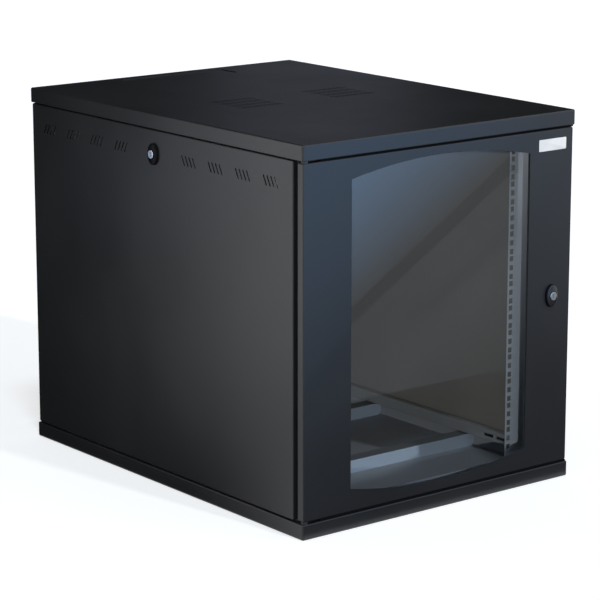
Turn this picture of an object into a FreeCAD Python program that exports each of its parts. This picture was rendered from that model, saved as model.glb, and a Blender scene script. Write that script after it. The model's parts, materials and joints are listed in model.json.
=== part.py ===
import FreeCAD, Part
import math
import os
import re

import Sketcher

# A 13 unit wall mount network cabinet, 600 mm wide and 800 mm deep, in millimetres.
# +Z is up, the door faces -Y and the origin is the centre of the underside.

doc = FreeCAD.newDocument("NetworkCabinet")
vector = FreeCAD.Vector

# --- driving dimensions -------------------------------------------------------------------

sizes = {
    # whole cabinet
    "cabinetWidth": 600.0,
    "cabinetDepth": 800.0,
    "rackUnits": 13.0,
    "unitHeight": 44.45,
    "railMargin": 13.575,       # from a cap's lip to the nearest rack unit
    "sheetThickness": 1.5,      # caps, frame and door
    "fitGap": 0.5,              # play between the frame and what hangs on it
    # base tray and top cover
    "capHeight": 26.5,
    "capCorner": 4.0,
    "capEdge": 3.0,
    "capLip": 14.0,
    # slanted vent slots
    "slotWidth": 3.0,
    "slotRise": 14.5,
    "slotLean": 7.5,
    "slotPitch": 10.1,
    # grilles in the top cover
    "grilleCount": 2.0,
    "grilleDistance": 206.0,
    "grilleSetback": 408.0,
    "grilleSlots": 9.0,
    "grilleRows": 4.0,
    "grilleRowPitch": 26.5,
    # cable entries and their plates
    "entryWidth": 230.0,
    "entryDepth": 54.0,
    "entryRearGap": 24.0,
    "entryCorner": 6.0,
    "plateMargin": 10.0,
    "plateScrewRadius": 2.0,
    # posts
    "postWidth": 22.0,
    "postDepth": 30.0,
    "postSetback": 24.0,
    "postLip": 10.0,
    "rearPostGap": 4.0,
    "crossHeight": 21.5,
    "crossDepth": 18.0,
    # depth channels
    "channelWidth": 11.7,
    "channelHeight": 20.5,
    "channelSlotStart": 72.0,
    "channelSlotLength": 25.0,
    "channelSlotHeight": 6.5,
    "channelSlotPitch": 33.0,
    "channelSlotCount": 4.0,
    # floor bars
    "barWidth": 29.0,
    "barFrontSetback": 243.0,
    "barRearSetback": 510.0,
    "barEndGap": 2.0,
    "barCorner": 8.0,
    # 19 inch rails
    "railOpening": 450.0,
    "railHolesApart": 465.1,
    "railHole": 9.5,
    "railHoleEdge": 6.35,
    "railHolePitch": 15.875,
    "railSetback": 82.0,
    "railFlange": 22.0,
    "railReach": 6.5,           # how far a rail runs on past each cap's lip
    "boltRadius": 3.0,
    "boltClearance": 0.2,
    "boltReach": 10.0,
    "boltTip": 1.0,
    "nutAcross": 10.0,
    "nutThickness": 5.0,
    # side panels
    "panelThickness": 1.2,
    "panelReturn": 8.0,
    "panelInset": 1.8,
    "panelFrontGap": 11.5,
    "panelRearGap": 4.0,
    "panelCapGap": 2.25,
    "panelCorner": 3.0,
    "panelEdge": 2.0,
    "ventGroups": 4.0,
    "ventSlots": 4.0,
    "ventFirst": 100.0,
    "ventGroupPitch": 75.3,
    "ventBelowCover": 43.5,
    "pegRadius": 3.5,
    "pegLength": 13.0,
    "pegHeight": 60.0,
    "pegClearance": 0.3,
    "pegHead": 1.5,
    "pegTip": 2.0,
    # rear panel and wall fixing
    "rearPanelGap": 3.0,
    "wallHoleRadius": 5.0,
    "wallHolesApart": 500.0,
    "spacerRadius": 12.0,
    "rivetRadius": 3.2,
    "rivetRim": 0.5,
    "rivetHeight": 1.2,
    "rivetDrop": 36.0,          # from a wall hole to the nearest rivet
    # door
    "doorInset": 2.5,
    "doorThickness": 14.0,
    "doorSideGap": 2.75,
    "doorCapGap": 3.75,
    "doorCorner": 3.2,
    "doorEdge": 2.2,
    "doorReturn": 8.0,
    "windowMargin": 103.0,      # from the cabinet's side to the window
    "windowRim": 16.85,         # from the door's ends to the tops of the arches
    "windowArch": 21.0,
    "windowRaise": 1.75,
    "glassThickness": 4.0,
    "glassOverlap": 12.0,
    "gasketThickness": 1.0,
    "gasketSetback": 3.0,
    "retainerFoot": 24.0,
    "retainerStudCount": 4.0,
    "retainerStudRadius": 2.0,
    "retainerStudLength": 7.5,
    "retainerStudTip": 0.5,
    "retainerStudEndGap": 26.1,
    "retainerNutThickness": 3.2,
    # hinge
    "hingeInset": 10.0,
    "hingeSetback": 9.0,
    "hingePinRadius": 3.0,
    "hingeClearance": 0.05,
    "bushRadius": 4.5,
    "bushFlange": 1.0,
    "bushLength": 5.5,
    "hingePlay": 0.3,
    "pinLength": 13.0,
    "pinTip": 1.0,
    "pinHead": 2.0,
    "hingeCollar": 1.5,         # how far the collars stand out round pin and bush
    # locks
    "lockWidth": 27.0,
    "doorLockHeight": 40.5,
    "sideLockHeight": 38.0,
    "lockDepth": 7.0,
    "lockRound": 3.2,
    "plugRadius": 7.2,
    "plugProud": 1.2,
    "plugClearance": 0.1,
    "barrelRadius": 9.5,
    "lockNutThickness": 5.0,
    "camLength": 30.0,
    "camWidth": 14.0,
    "camThickness": 3.0,
    "camClearance": 1.3,
    "doorLockGap": 18.5,        # from the retaining strip to the lock's axis
    "doorLockHeightAboveFloor": 335.0,
    "sideLockSetback": 412.5,
    "plugEdge": 0.5,
    "keySlotWidth": 1.4,
    "keySlotDepth": 3.0,
    "lockCollarWidth": 1.6,
    "lockCollarProud": 0.6,
    "lockNutWall": 3.0,
    "camScrewHead": 2.5,
    "camScrewCrown": 1.0,
    # earth stud
    "earthRadius": 3.0,
    "earthLength": 20.0,
    "earthWasher": 1.0,
    "earthTip": 1.0,
    "earthSideGap": 40.0,
    "earthRearGap": 60.0,
}

# Places that follow from the driving dimensions, as formulas in their names.
places = {
    "cabinetHeight": "rackUnits * unitHeight + 2 * (railMargin + capHeight)",
    "halfWidth": "cabinetWidth / 2",
    "halfDepth": "cabinetDepth / 2",
    "coverLip": "cabinetHeight - capHeight",
    "frameOuter": "halfWidth - panelInset - panelReturn - fitGap",
    "frameInner": "frameOuter - channelWidth",
    "postFront": "-halfDepth + postSetback",
    "rearPostBack": "halfDepth - rearPostGap",
    "channelFront": "postFront + postDepth",
    "channelBack": "rearPostBack - postDepth",
    "railFace": "-halfDepth + railSetback",
    "railHoleStep": "(railHolesApart - railOpening) / 2",
    "doorFront": "halfDepth - doorInset",
    "doorBack": "halfDepth - doorInset - doorThickness",
    "doorLow": "capHeight + doorCapGap",
    "doorHigh": "coverLip - doorCapGap",
    "windowWidth": "cabinetWidth - 2 * windowMargin",
    "windowSide": "doorHigh - doorLow - 2 * (windowRim + windowArch)",
    "windowMiddle": "(doorLow + doorHigh) / 2 + windowRaise",
    "windowRadius": "(windowWidth * windowWidth / 4 + windowArch * windowArch) / (2 * windowArch)",
    "glassFront": "doorFront - sheetThickness - gasketThickness",
    "glassHalfWidth": "windowWidth / 2 + glassOverlap",
    "glassHalfHeight": "windowSide / 2 + windowArch + glassOverlap",
    "panelFace": "halfWidth - panelInset",
    "panelFront": "-halfDepth + doorInset + doorThickness + panelFrontGap",
    "panelBack": "halfDepth - panelRearGap",
    "panelLow": "capHeight + panelCapGap",
    "panelHigh": "coverLip - panelCapGap",
    "sideLockY": "-halfDepth + sideLockSetback",
    "sideLockZ": "coverLip - ventBelowCover",
    "hingeX": "-halfWidth + hingeInset",
    "hingeY": "-halfDepth + hingeSetback",
    "lockX": "glassHalfWidth + fitGap + retainerFoot + doorLockGap",
    "wallHoleX": "frameOuter - postWidth / 2",
    "entryY": "halfDepth - entryRearGap - entryDepth / 2",
    "doorBarrel": "postSetback + sheetThickness + camClearance - doorInset",
    "sideBarrel": "panelFace - frameInner + camClearance",
    "boltY": "-halfDepth + channelSlotStart + channelSlotLength - 2 * boltRadius",
    "boltLowZ": "capHeight + channelHeight / 2",
    "boltHighZ": "coverLip - channelHeight / 2",
    "studSpan": "windowSide - 2 * retainerStudEndGap",
    "studX": "glassHalfWidth + fitGap + sheetThickness + retainerFoot / 2",
    "hingeCollarRadius": "bushRadius + hingeCollar",
}

sheet = doc.addObject("Spreadsheet::Sheet", "Dims")
for row, alias in enumerate(sizes, 1):
    sheet.set("A%d" % row, alias)
    sheet.set("B%d" % row, str(sizes[alias]))
    sheet.setAlias("B%d" % row, alias)
doc.recompute()


# --- helpers ------------------------------------------------------------------------------

def spelled(formula):
    """the formula with every size name pointing at its cell and every place written out"""
    def swap(match):
        word = match.group(0)
        if word in places:
            return "(" + spelled(places[word]) + ")"
        if word in sizes:
            return "Dims." + word
        return word
    return re.sub(r"[A-Za-z_]\w*", swap, formula)


def bind(target, prop, formula):
    target.setExpression(prop, spelled(formula))


def originFeature(body, role):
    for feature in body.Origin.OriginFeatures:
        if feature.Role == role:
            return feature
    raise ValueError("no origin feature " + role)


def newBody(name):
    return doc.addObject("PartDesign::Body", name)


def newSketch(body, name, plane, lift="0"):
    """a sketch on an origin plane of its body, lifted along the plane's normal"""
    sketch = body.newObject("Sketcher::SketchObject", name)
    sketch.AttachmentSupport = (originFeature(body, plane), [""])
    sketch.MapMode = "FlatFace"
    bind(sketch, "AttachmentOffset.Base.z", lift)
    return sketch


def fixPoint(sketch, geometry, end, x, y, guess):
    """ties one point of a sketch to its formulas"""
    for kind, formula, start in (("DistanceX", x, guess[0]), ("DistanceY", y, guess[1])):
        if formula == "0":
            axis = -2 if kind == "DistanceX" else -1
            sketch.addConstraint(Sketcher.Constraint("PointOnObject", geometry, end, axis))
        else:
            index = sketch.addConstraint(Sketcher.Constraint(kind, -1, 1, geometry, end, start))
            bind(sketch, "Constraints[%d]" % index, formula)


def addOutline(sketch, corners):
    """a closed outline of straight lines through corners given as pairs of formulas"""
    first = sketch.GeometryCount
    count = len(corners)
    guesses = []
    for number in range(count):
        turn = 2 * math.pi * number / count + 0.3
        guesses.append((10 * math.cos(turn), 10 * math.sin(turn)))
    for number in range(count):
        here = guesses[number]
        there = guesses[(number + 1) % count]
        sketch.addGeometry(Part.LineSegment(vector(*here, 0), vector(*there, 0)), False)
    for number in range(count):
        after = (number + 1) % count
        sketch.addConstraint(Sketcher.Constraint("Coincident", first + number, 2, first + after, 1))
    for number, (x, y) in enumerate(corners):
        fixPoint(sketch, first + number, 1, x, y, guesses[number])


def addRectangle(sketch, x0, x1, y0, y1):
    addOutline(sketch, [(x0, y0), (x1, y0), (x1, y1), (x0, y1)])


def addCircle(sketch, x, y, radius):
    circle = sketch.addGeometry(Part.Circle(vector(1, 1, 0), vector(0, 0, 1), 1.0), False)
    fixPoint(sketch, circle, 3, x, y, (1, 1))
    index = sketch.addConstraint(Sketcher.Constraint("Radius", circle, 1.0))
    bind(sketch, "Constraints[%d]" % index, radius)


def addLeaningSlot(sketch, lowX, lowY, highX, highY, width, way=1):
    """a slot with round ends between two centres, leaning to the side of way"""
    low = vector(0, 0, 0)
    high = vector(4 * way, 10, 0)
    half = 1.5
    along = (high - low).normalize()
    side = vector(-along.y, along.x, 0) * half
    axis = vector(0, 0, 1)
    lean = math.atan2(along.y, along.x)
    first = sketch.GeometryCount
    bottom = Part.ArcOfCircle(Part.Circle(low, axis, half), lean + math.pi / 2, lean + 3 * math.pi / 2)
    top = Part.ArcOfCircle(Part.Circle(high, axis, half), lean - math.pi / 2, lean + math.pi / 2)
    sketch.addGeometry(bottom, False)
    sketch.addGeometry(Part.LineSegment(low - side, high - side), False)
    sketch.addGeometry(top, False)
    sketch.addGeometry(Part.LineSegment(high + side, low + side), False)
    for arc, arcEnd, line, lineEnd in ((0, 2, 1, 1), (2, 1, 1, 2), (2, 2, 3, 1), (0, 1, 3, 2)):
        tangent = Sketcher.Constraint("Tangent", first + arc, arcEnd, first + line, lineEnd)
        sketch.addConstraint(tangent)
    sketch.addConstraint(Sketcher.Constraint("Equal", first, first + 2))
    fixPoint(sketch, first, 3, lowX, lowY, (0, 0))
    fixPoint(sketch, first + 2, 3, highX, highY, (high.x, high.y))
    index = sketch.addConstraint(Sketcher.Constraint("Radius", first, half))
    bind(sketch, "Constraints[%d]" % index, width + " / 2")


def addArchedWindow(sketch, halfWidth, low, high, radius, arch):
    """upright sides closed by shallow arches that bulge up and down"""
    first = sketch.GeometryCount
    axis = vector(0, 0, 1)
    side = 50           # a rough start that the constraints pull into place
    rise = 60
    drop = 30
    reach = math.hypot(side, rise + drop)
    lean = math.atan2(side, rise + drop)
    upperCircle = Part.Circle(vector(0, -drop, 0), axis, reach)
    lowerCircle = Part.Circle(vector(0, drop, 0), axis, reach)
    up = math.pi / 2
    down = 3 * math.pi / 2
    sketch.addGeometry(Part.LineSegment(vector(side, -rise, 0), vector(side, rise, 0)), False)
    sketch.addGeometry(Part.ArcOfCircle(upperCircle, up - lean, up + lean), False)
    sketch.addGeometry(Part.LineSegment(vector(-side, rise, 0), vector(-side, -rise, 0)), False)
    sketch.addGeometry(Part.ArcOfCircle(lowerCircle, down - lean, down + lean), False)
    for one, oneEnd, other, otherEnd in ((0, 2, 1, 1), (1, 2, 2, 1), (2, 2, 3, 1), (3, 2, 0, 1)):
        sketch.addConstraint(Sketcher.Constraint("Coincident", first + one, oneEnd, first + other, otherEnd))
    fixPoint(sketch, first, 1, halfWidth, low, (side, -rise))
    fixPoint(sketch, first, 2, halfWidth, high, (side, rise))
    fixPoint(sketch, first + 2, 1, "-(" + halfWidth + ")", high, (-side, rise))
    fixPoint(sketch, first + 2, 2, "-(" + halfWidth + ")", low, (-side, -rise))
    upper = high + " + " + arch + " - " + radius
    lower = low + " - " + arch + " + " + radius
    for arc, formula, guess in ((1, upper, -drop), (3, lower, drop)):
        level = Sketcher.Constraint("DistanceY", -1, 1, first + arc, 3, guess)
        index = sketch.addConstraint(level)
        bind(sketch, "Constraints[%d]" % index, formula)


def pad(body, sketch, length, reverse=False, middle=False):
    feature = body.newObject("PartDesign::Pad", sketch.Name + "Pad")
    feature.Profile = sketch
    bind(feature, "Length", length)
    feature.Reversed = reverse
    feature.Midplane = middle
    sketch.Visibility = False
    return feature


def cut(body, sketch, length):
    """a pocket to both sides of its sketch, which has to take something away"""
    doc.recompute()
    before = body.Shape.Volume
    feature = body.newObject("PartDesign::Pocket", sketch.Name + "Cut")
    feature.Profile = sketch
    bind(feature, "Length", length)
    feature.Midplane = True
    doc.recompute()
    if not body.Shape.Volume < before:
        raise ValueError(sketch.Name + " cuts nothing")
    return feature


def edgesWhere(shape, test):
    """names of the edges whose middle passes the test"""
    names = []
    for number, edge in enumerate(shape.Edges, 1):
        middle = edge.valueAt((edge.FirstParameter + edge.LastParameter) / 2)
        if test(edge, middle, shape.BoundBox):
            names.append("Edge%d" % number)
    return names


def isAlong(edge, direction):
    if edge.Curve.TypeId != "Part::GeomLine":
        return False
    return abs(edge.Curve.Direction.dot(direction)) > 0.999     # within 3 degrees


def roundEdges(body, base, radius, test):
    doc.recompute()
    names = edgesWhere(base.Shape, test)
    feature = body.newObject("PartDesign::Fillet", base.Name + "Round")
    feature.Base = (base, names)
    bind(feature, "Radius", radius)
    return feature


def hollow(body, base, thickness, isOpen):
    """keeps a skin of the given thickness and opens the faces that pass the test"""
    doc.recompute()
    shape = base.Shape
    names = []
    for number, face in enumerate(shape.Faces, 1):
        if isOpen(face.CenterOfMass, shape.BoundBox):
            names.append("Face%d" % number)
    feature = body.newObject("PartDesign::Thickness", base.Name + "Skin")
    feature.Base = (base, names)
    bind(feature, "Value", thickness)
    feature.Reversed = True
    return feature


def repeat(body, features, steps, name):
    """repeats cuts: each step is a count and a spacing along a sketch axis, or a mirror plane"""
    multi = body.newObject("PartDesign::MultiTransform", name)
    multi.Originals = features
    parts = []
    for number, step in enumerate(steps):
        if step[0] == "mirror":
            part = body.newObject("PartDesign::Mirrored", "%sMirror%d" % (name, number))
            part.MirrorPlane = (originFeature(body, step[1]), [""])
        else:
            part = body.newObject("PartDesign::LinearPattern", "%sRow%d" % (name, number))
            part.Direction = (originFeature(body, step[1]), [""])
            part.Mode = "Spacing"
            bind(part, "Occurrences", step[2])
            bind(part, "Offset", step[3])
        parts.append(part)
    multi.Transformations = parts
    body.Tip = multi
    doc.recompute()
    return multi


def group(name, members):
    compound = doc.addObject("Part::Compound", name)
    compound.Links = members
    return compound


def place(target, x="0", y="0", z="0", rotation=None):
    if rotation:
        target.Placement = FreeCAD.Placement(vector(0, 0, 0), rotation)
    bind(target, "Placement.Base.x", x)
    bind(target, "Placement.Base.y", y)
    bind(target, "Placement.Base.z", z)


def spindle(name, profile, x, y, z, rotation=None):
    """a turned piece: pairs of height and radius, from the bottom up, turned about its own Z"""
    body = newBody(name)
    sketch = newSketch(body, name + "Profile", "XZ_Plane")
    corners = [("0", profile[0][0])]
    corners += [(radius, height) for height, radius in profile]
    corners.append(("0", profile[-1][0]))
    addOutline(sketch, corners)
    turned = body.newObject("PartDesign::Revolution", name + "Turned")
    turned.Profile = sketch
    turned.ReferenceAxis = (sketch, ["V_Axis"])
    turned.Angle = 360
    place(body, x, y, z, rotation)
    return body


def ring(name, blank, radius, thickness, x, y, z, rotation=None):
    """cuts a bore down the middle of a flat blank and puts both in place"""
    bore = doc.addObject("Part::Cylinder", name + "Bore")
    bind(bore, "Radius", radius)
    for piece in (blank, bore):
        bind(piece, "Height", thickness)
        place(piece, x, y, z, rotation)
    cutOut = doc.addObject("Part::Cut", name)
    cutOut.Base = blank
    cutOut.Tool = bore
    return cutOut


def hexNut(name, across, thickness, radius, x, y, z, rotation=None):
    """a six sided nut, its size across the flats, with a bore of the given radius"""
    blank = doc.addObject("Part::Prism", name + "Blank")
    blank.Polygon = 6
    bind(blank, "Circumradius", across + " / sqrt(3)")
    return ring(name, blank, radius, thickness, x, y, z, rotation)


parts = []


def keep(target, label):
    target.Label = label
    parts.append(target)
    return target


alongX, alongY, alongZ = vector(1, 0, 0), vector(0, 1, 0), vector(0, 0, 1)
towardX = FreeCAD.Rotation(alongY, 90)      # a piece's own Z turned to +X
towardMinusX = FreeCAD.Rotation(alongY, -90)
towardY = FreeCAD.Rotation(alongX, -90)
towardMinusY = FreeCAD.Rotation(alongX, 90)


# --- base tray and top cover --------------------------------------------------------------

def cap(name, bottom, openAtTop):
    """a folded sheet tray with rounded corners and a lip turned inward round its open side"""
    body = newBody(name)
    outline = newSketch(body, name + "Outline", "XY_Plane", bottom)
    addRectangle(outline, "-halfWidth", "halfWidth", "-halfDepth", "halfDepth")
    block = pad(body, outline, "capHeight")
    corners = roundEdges(body, block, "capCorner", lambda edge, at, box: isAlong(edge, alongZ))
    closed = "ZMin" if openAtTop else "ZMax"
    opened = "ZMax" if openAtTop else "ZMin"

    def isClosedRim(edge, at, box):
        return abs(at.z - getattr(box, closed)) < 0.01

    def isOpened(at, box):
        return abs(at.z - getattr(box, opened)) < 0.01
    bend = roundEdges(body, corners, "capEdge", isClosedRim)
    skin = hollow(body, bend, "sheetThickness", isOpened)
    lipBottom = bottom + " + capHeight - sheetThickness" if openAtTop else bottom
    lip = newSketch(body, name + "Lip", "XY_Plane", lipBottom)
    outerX = "halfWidth - sheetThickness"
    outerY = "halfDepth - sheetThickness"
    addRectangle(lip, "-(" + outerX + ")", outerX, "-(" + outerY + ")", outerY)
    innerX = outerX + " - capLip"
    innerY = outerY + " - capLip"
    addRectangle(lip, "-(" + innerX + ")", innerX, "-(" + innerY + ")", innerY)
    lipPad = pad(body, lip, "sheetThickness")

    def isLipBend(edge, at, box):
        corner = sizes["capCorner"] / 2
        onRim = abs(at.x) > box.XMax - corner or abs(at.y) > box.YMax - corner
        return onRim and isOpened(at, box)
    roundEdges(body, lipPad, "sheetThickness", isLipBend)
    return body


def entryHole(body, name, level):
    """the cable entry near the rear edge and the holes of its plate's screws"""
    entry = newSketch(body, name + "Entry", "XY_Plane", level)
    addRectangle(entry, "-entryWidth / 2", "entryWidth / 2",
                 "entryY - entryDepth / 2", "entryY + entryDepth / 2")
    opening = cut(body, entry, "4 * sheetThickness")

    def isEntryCorner(edge, at, box):
        return isAlong(edge, alongZ) and at.y > 0 and abs(at.x) < body.Shape.BoundBox.XMax / 2
    roundEdges(body, opening, "entryCorner", isEntryCorner)
    doc.recompute()
    holes = newSketch(body, name + "ScrewHoles", "XY_Plane", level)
    for x in ("-(entryWidth + plateMargin) / 2", "(entryWidth + plateMargin) / 2"):
        for y in ("entryY - entryDepth / 2 + entryCorner", "entryY + entryDepth / 2 - entryCorner"):
            addCircle(holes, x, y, "plateScrewRadius")
    cut(body, holes, "4 * sheetThickness")


def pinHole(body, name, level):
    hole = newSketch(body, name + "PinHole", "XY_Plane", level)
    addCircle(hole, "hingeX", "hingeY", "bushRadius")
    cut(body, hole, "3 * sheetThickness")


def baseTray():
    body = cap("BaseTray", "0", True)
    entryHole(body, "Base", "0")
    pinHole(body, "Base", "capHeight")
    return keep(body, "base_tray")


def topCover():
    body = cap("TopCover", "coverLip", False)
    entryHole(body, "Cover", "cabinetHeight")
    pinHole(body, "Cover", "coverLip")
    slot = newSketch(body, "GrilleSlot", "XY_Plane", "cabinetHeight")
    startX = "-(grilleDistance + (grilleSlots - 1) * slotPitch) / 2"
    startY = "-halfDepth + grilleSetback - (grilleRows - 1) * grilleRowPitch / 2"
    addLeaningSlot(slot, startX + " + slotLean / 2", startY + " - slotRise / 2",
                   startX + " - slotLean / 2", startY + " + slotRise / 2", "slotWidth", -1)
    slotCut = cut(body, slot, "4 * sheetThickness")
    across = ("row", "X_Axis", "grilleSlots", "slotPitch")
    back = ("row", "Y_Axis", "grilleRows", "grilleRowPitch")
    apart = ("row", "X_Axis", "grilleCount", "grilleDistance")
    repeat(body, [slotCut], [across, back, apart], "Grille")
    return keep(body, "top_cover")


def entryPlate(name, label, bottom):
    """a flat plate that closes a cable entry from inside"""
    body = newBody(name)
    outline = newSketch(body, name + "Outline", "XY_Plane", bottom)
    addRectangle(outline, "-entryWidth / 2 - plateMargin", "entryWidth / 2 + plateMargin",
                 "entryY - entryDepth / 2 - plateMargin", "entryY + entryDepth / 2 + plateMargin / 2")
    plate = pad(body, outline, "sheetThickness")
    roundEdges(body, plate, "entryCorner / 2", lambda edge, at, box: isAlong(edge, alongZ))
    holes = newSketch(body, name + "Holes", "XY_Plane", bottom)
    for x in ("-(entryWidth + plateMargin) / 2", "(entryWidth + plateMargin) / 2"):
        for y in ("entryY - entryDepth / 2 + entryCorner", "entryY + entryDepth / 2 - entryCorner"):
            addCircle(holes, x, y, "plateScrewRadius")
    cut(body, holes, "4 * sheetThickness")
    return keep(body, label)


def entryScrews():
    """pan head screws through each plate and its cap, four to a plate"""
    screws = []
    for upper in (False, True):
        for side in (-1, 1):
            for end in (-1, 1):
                x = "%d * (entryWidth + plateMargin) / 2" % side
                y = "entryY + %d * (entryDepth / 2 - entryCorner)" % end
                z = "cabinetHeight" if upper else "0"
                profile = [("0", "plateScrewRadius"), ("2 * sheetThickness", "plateScrewRadius"),
                           ("2 * sheetThickness", "2 * plateScrewRadius"),
                           ("3 * sheetThickness", "2 * plateScrewRadius"),
                           ("4 * sheetThickness", "plateScrewRadius")]
                name = "EntryScrew%d" % len(screws)
                turn = FreeCAD.Rotation(alongX, 180) if upper else None
                screws.append(spindle(name, profile, x, y, z, turn))
    return keep(group("EntryScrews", screws), "cable_plate_screws")


# --- frame --------------------------------------------------------------------------------

def channelCorners(depthStart, depthEnd, outer, side, flange, web="sheetThickness"):
    """a C section seen from above: a web at the outer side and two flanges turned inward"""
    out = "%d * (%s)" % (side, outer)
    skin = "%d * (%s - %s)" % (side, outer, web)
    longTip = "%d * (%s - %s)" % (side, outer, flange[0])
    shortTip = "%d * (%s - %s)" % (side, outer, flange[1])
    return [(out, depthStart), (longTip, depthStart), (longTip, depthStart + " + " + web),
            (skin, depthStart + " + " + web), (skin, depthEnd + " - " + web),
            (shortTip, depthEnd + " - " + web), (shortTip, depthEnd), (out, depthEnd)]


def post(name, label, side, front):
    """an upright C section between the lips of the two caps, with the side panel's peg hole"""
    body = newBody(name)
    start = "postFront" if front else "rearPostBack - postDepth"
    end = "postFront + postDepth" if front else "rearPostBack"
    flanges = ("postWidth", "postLip") if front else ("postLip", "postWidth")
    section = newSketch(body, name + "Section", "XY_Plane", "capHeight")
    addOutline(section, channelCorners(start, end, "frameOuter", side, flanges))
    column = pad(body, section, "cabinetHeight - 2 * capHeight")

    def isOuterBend(edge, at, box):
        outer = box.XMax if side > 0 else box.XMin
        return isAlong(edge, alongZ) and abs(at.x - outer) < 0.01
    roundEdges(body, column, "sheetThickness", isOuterBend)
    hole = newSketch(body, name + "PegHole", "YZ_Plane", "%d * frameOuter" % side)
    addCircle(hole, start + " + postDepth / 2", "pegHeight", "pegRadius + pegClearance")
    cut(body, hole, "4 * sheetThickness")
    if not front:
        wall = newSketch(body, name + "WallHoles", "XZ_Plane", "-rearPostBack")
        for level in (-1, 1):
            addCircle(wall, "%d * wallHoleX" % side, "cabinetHeight / 2 + %d * wallHolesApart / 2" % level,
                      "wallHoleRadius")
        cut(body, wall, "4 * sheetThickness")
    return keep(body, label)


def frontCross(name, label, upper):
    """an angle between the front posts that closes the gap above or below the door"""
    body = newBody(name)
    section = newSketch(body, name + "Section", "YZ_Plane")
    edge = "coverLip" if upper else "capHeight"
    way = -1 if upper else 1
    face = edge + " + %d * crossHeight" % way
    skin = edge + " + %d * sheetThickness" % way
    back = "postFront + crossDepth"
    inner = "postFront + sheetThickness"
    addOutline(section, [("postFront", edge), (back, edge), (back, skin),
                         (inner, skin), (inner, face), ("postFront", face)])
    bar = pad(body, section, "2 * (frameOuter - postWidth)", middle=True)

    def isBend(edge, at, box):
        level = box.ZMax if upper else box.ZMin
        return isAlong(edge, alongX) and abs(at.z - level) < 0.01 and abs(at.y - box.YMin) < 0.01
    roundEdges(body, bar, "sheetThickness", isBend)
    return keep(body, label)


def depthChannel(name, label, side, upper):
    """a C section from front post to rear post that carries the rails, slotted at both ends"""
    body = newBody(name)
    low = "coverLip - channelHeight" if upper else "capHeight"
    high = "coverLip" if upper else "capHeight + channelHeight"
    section = newSketch(body, name + "Section", "XZ_Plane", "-(channelFront)")
    inner = "%d * frameInner" % side
    web = "%d * (frameInner + sheetThickness)" % side
    outer = "%d * frameOuter" % side
    addOutline(section, [(inner, low), (outer, low), (outer, low + " + sheetThickness"),
                         (web, low + " + sheetThickness"), (web, high + " - sheetThickness"),
                         (outer, high + " - sheetThickness"), (outer, high), (inner, high)])
    channel = pad(body, section, "channelBack - channelFront", reverse=True)

    def isInnerBend(edge, at, box):
        face = box.XMin if side > 0 else box.XMax
        return isAlong(edge, alongY) and abs(at.x - face) < 0.01
    roundEdges(body, channel, "sheetThickness", isInnerBend)
    slot = newSketch(body, name + "Slot", "YZ_Plane", inner)
    middle = "boltHighZ" if upper else "boltLowZ"
    start = "-halfDepth + channelSlotStart"
    addRectangle(slot, start, start + " + channelSlotLength",
                 middle + " - channelSlotHeight / 2", middle + " + channelSlotHeight / 2")
    slotCut = cut(body, slot, "4 * sheetThickness")
    rows = ("row", "Y_Axis", "channelSlotCount", "channelSlotPitch")
    repeat(body, [slotCut], [rows, ("mirror", "XZ_Plane")], name + "Slots")
    return keep(body, label)


def floorBar(name, label, setback):
    """a folded bar that stiffens the floor, an upside down U whose flange ends are rounded off"""
    body = newBody(name)
    start = "-halfDepth + " + setback
    reach = "halfWidth - sheetThickness - barEndGap"
    section = newSketch(body, name + "Section", "YZ_Plane")
    top = "capHeight - sheetThickness"
    innerStart = start + " + sheetThickness"
    innerEnd = start + " + barWidth - sheetThickness"
    end = start + " + barWidth"
    ceiling = top + " - sheetThickness"
    addOutline(section, [(start, "sheetThickness"), (innerStart, "sheetThickness"), (innerStart, ceiling),
                         (innerEnd, ceiling), (innerEnd, "sheetThickness"), (end, "sheetThickness"),
                         (end, top), (start, top)])
    bar = pad(body, section, "2 * (" + reach + ")", middle=True)

    def isTopBend(edge, at, box):
        atSide = min(abs(at.y - box.YMin), abs(at.y - box.YMax)) < 0.01
        return isAlong(edge, alongX) and abs(at.z - box.ZMax) < 0.01 and atSide
    folded = roundEdges(body, bar, "sheetThickness", isTopBend)

    def isFlangeCorner(edge, at, box):
        atEnd = min(abs(at.x - box.XMin), abs(at.x - box.XMax)) < 0.01
        return isAlong(edge, alongY) and atEnd and abs(at.z - box.ZMin) < 0.01
    roundEdges(body, folded, "barCorner", isFlangeCorner)
    return keep(body, label)


# --- 19 inch rails ------------------------------------------------------------------------

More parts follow.
